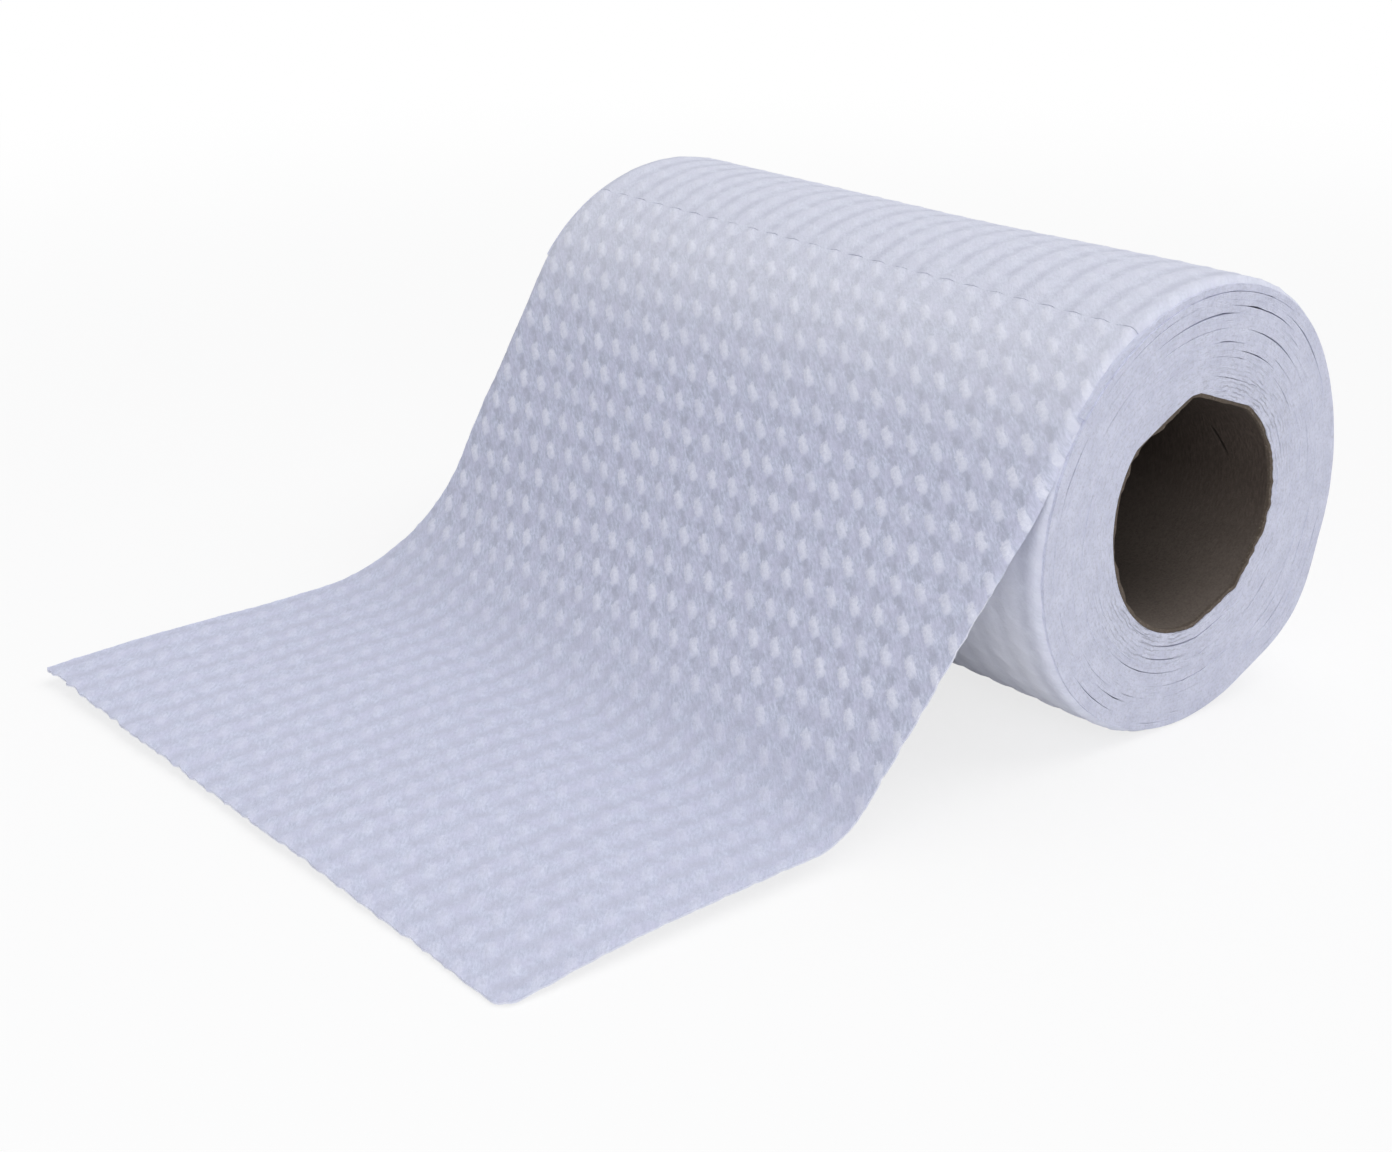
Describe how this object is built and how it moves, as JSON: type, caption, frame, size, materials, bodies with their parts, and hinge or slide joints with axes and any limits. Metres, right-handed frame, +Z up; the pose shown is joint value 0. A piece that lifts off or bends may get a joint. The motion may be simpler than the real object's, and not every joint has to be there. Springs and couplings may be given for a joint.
{
  "type": "cleaning cloth roll",
  "caption": "Roll of embossed nonwoven cleaning cloth wound on a cardboard core, lying on its side with its last perforated sheet drawn down and laid out flat.",
  "frame": {"origin": "on the floor under the roll's axis, halfway along its width", "axes": "+X along the roll's axis towards the pressed mouth of its core, +Y behind the roll away from the free sheet, +Z up"},
  "size_m": [0.2, 0.257, 0.1096],
  "materials": {
    "cloth": "matt lavender-white nonwoven fibre with an embossed pearl pattern",
    "cardboard": "raw grey-brown core board with a paler cut rim"
  },
  "bodies": {
    "root": {"cloth_roll": "cloth", "core_tube": "cardboard"}
  },
  "joints": []
}
